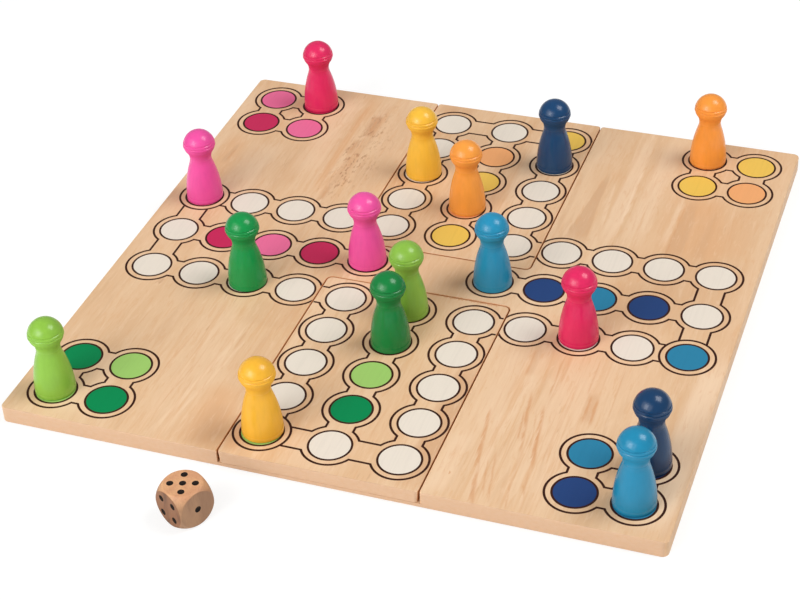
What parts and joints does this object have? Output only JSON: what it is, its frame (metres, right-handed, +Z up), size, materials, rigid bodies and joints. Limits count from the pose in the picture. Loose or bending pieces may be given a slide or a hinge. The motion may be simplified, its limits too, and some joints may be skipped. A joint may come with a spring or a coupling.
{
  "type": "ludo board game set",
  "caption": "Square wooden ludo board with two drop-in panels in routed recesses, turned lacquered pawns standing on its fields and a wooden die beside it",
  "frame": {"origin": "centre of the board's underside", "axes": "+Z up out of the playing face; +Y from the edge beside the die towards the far edge; +X to the right when the die is in front"},
  "size_m": [0.3, 0.3437, 0.0464],
  "materials": {
    "rubberwood": "clear satin lacquer over light edge-glued rubberwood, fields and outlines printed on it",
    "die_wood": "bare sanded hardwood with black painted pips",
    "crimson_lacquer": "glossy coloured lacquer on turned wood",
    "pink_lacquer": "glossy coloured lacquer on turned wood",
    "dark_green_lacquer": "glossy coloured lacquer on turned wood",
    "light_green_lacquer": "glossy coloured lacquer on turned wood",
    "yellow_lacquer": "glossy coloured lacquer on turned wood",
    "orange_lacquer": "glossy coloured lacquer on turned wood",
    "dark_blue_lacquer": "glossy coloured lacquer on turned wood",
    "light_blue_lacquer": "glossy coloured lacquer on turned wood",
    "outline_ink": "ink printed on the wood under the board's clear satin lacquer",
    "white_ink": "ink printed on the wood under the board's clear satin lacquer",
    "crimson_ink": "ink printed on the wood under the board's clear satin lacquer",
    "pink_ink": "ink printed on the wood under the board's clear satin lacquer",
    "dark_green_ink": "ink printed on the wood under the board's clear satin lacquer",
    "light_green_ink": "ink printed on the wood under the board's clear satin lacquer",
    "yellow_ink": "ink printed on the wood under the board's clear satin lacquer",
    "orange_ink": "ink printed on the wood under the board's clear satin lacquer",
    "dark_blue_ink": "ink printed on the wood under the board's clear satin lacquer",
    "light_blue_ink": "ink printed on the wood under the board's clear satin lacquer"
  },
  "bodies": {
    "board": {"board": "rubberwood"},
    "insert_front": {"insert_front": "rubberwood"},
    "insert_back": {"insert_back": "rubberwood"},
    "pawn_crimson_a": {"pawn_crimson_a": "crimson_lacquer"},
    "pawn_crimson_b": {"pawn_crimson_b": "crimson_lacquer"},
    "pawn_pink_a": {"pawn_pink_a": "pink_lacquer"},
    "pawn_pink_b": {"pawn_pink_b": "pink_lacquer"},
    "pawn_dark_green_a": {"pawn_dark_green_a": "dark_green_lacquer"},
    "pawn_dark_green_b": {"pawn_dark_green_b": "dark_green_lacquer"},
    "pawn_light_green_a": {"pawn_light_green_a": "light_green_lacquer"},
    "pawn_light_green_b": {"pawn_light_green_b": "light_green_lacquer"},
    "pawn_yellow_a": {"pawn_yellow_a": "yellow_lacquer"},
    "pawn_yellow_b": {"pawn_yellow_b": "yellow_lacquer"},
    "pawn_orange_a": {"pawn_orange_a": "orange_lacquer"},
    "pawn_orange_b": {"pawn_orange_b": "orange_lacquer"},
    "pawn_dark_blue_a": {"pawn_dark_blue_a": "dark_blue_lacquer"},
    "pawn_dark_blue_b": {"pawn_dark_blue_b": "dark_blue_lacquer"},
    "pawn_light_blue_a": {"pawn_light_blue_a": "light_blue_lacquer"},
    "pawn_light_blue_b": {"pawn_light_blue_b": "light_blue_lacquer"},
    "die": {"die": "die_wood"}
  },
  "joints": [
    {"name": "insert_front_lift", "type": "slide", "parent": "board", "child": "insert_front", "axis": [0, 0, 1], "range_m": [0, 0.03]},
    {"name": "insert_back_lift", "type": "slide", "parent": "board", "child": "insert_back", "axis": [0, 0, 1], "range_m": [0, 0.03]},
    {"name": "pawn_crimson_a_lift", "type": "slide", "parent": "board", "child": "pawn_crimson_a", "axis": [0, 0, 1], "range_m": [0, 0.05]},
    {"name": "pawn_crimson_b_lift", "type": "slide", "parent": "board", "child": "pawn_crimson_b", "axis": [0, 0, 1], "range_m": [0, 0.05]},
    {"name": "pawn_pink_a_lift", "type": "slide", "parent": "board", "child": "pawn_pink_a", "axis": [0, 0, 1], "range_m": [0, 0.05]},
    {"name": "pawn_pink_b_lift", "type": "slide", "parent": "board", "child": "pawn_pink_b", "axis": [0, 0, 1], "range_m": [0, 0.05]},
    {"name": "pawn_dark_green_a_lift", "type": "slide", "parent": "board", "child": "pawn_dark_green_a", "axis": [0, 0, 1], "range_m": [0, 0.05]},
    {"name": "pawn_dark_green_b_lift", "type": "slide", "parent": "insert_front", "child": "pawn_dark_green_b", "axis": [0, 0, 1], "range_m": [0, 0.05]},
    {"name": "pawn_light_green_a_lift", "type": "slide", "parent": "board", "child": "pawn_light_green_a", "axis": [0, 0, 1], "range_m": [0, 0.05]},
    {"name": "pawn_light_green_b_lift", "type": "slide", "parent": "insert_front", "child": "pawn_light_green_b", "axis": [0, 0, 1], "range_m": [0, 0.05]},
    {"name": "pawn_yellow_a_lift", "type": "slide", "parent": "insert_front", "child": "pawn_yellow_a", "axis": [0, 0, 1], "range_m": [0, 0.05]},
    {"name": "pawn_yellow_b_lift", "type": "slide", "parent": "insert_back", "child": "pawn_yellow_b", "axis": [0, 0, 1], "range_m": [0, 0.05]},
    {"name": "pawn_orange_a_lift", "type": "slide", "parent": "board", "child": "pawn_orange_a", "axis": [0, 0, 1], "range_m": [0, 0.05]},
    {"name": "pawn_orange_b_lift", "type": "slide", "parent": "insert_back", "child": "pawn_orange_b", "axis": [0, 0, 1], "range_m": [0, 0.05]},
    {"name": "pawn_dark_blue_a_lift", "type": "slide", "parent": "insert_back", "child": "pawn_dark_blue_a", "axis": [0, 0, 1], "range_m": [0, 0.05]},
    {"name": "pawn_dark_blue_b_lift", "type": "slide", "parent": "board", "child": "pawn_dark_blue_b", "axis": [0, 0, 1], "range_m": [0, 0.05]},
    {"name": "pawn_light_blue_a_lift", "type": "slide", "parent": "board", "child": "pawn_light_blue_a", "axis": [0, 0, 1], "range_m": [0, 0.05]},
    {"name": "pawn_light_blue_b_lift", "type": "slide", "parent": "board", "child": "pawn_light_blue_b", "axis": [0, 0, 1], "range_m": [0, 0.05]},
    {"name": "die_lift", "type": "slide", "parent": "board", "child": "die", "axis": [0, 0, 1], "range_m": [0, 0.05]}
  ]
}
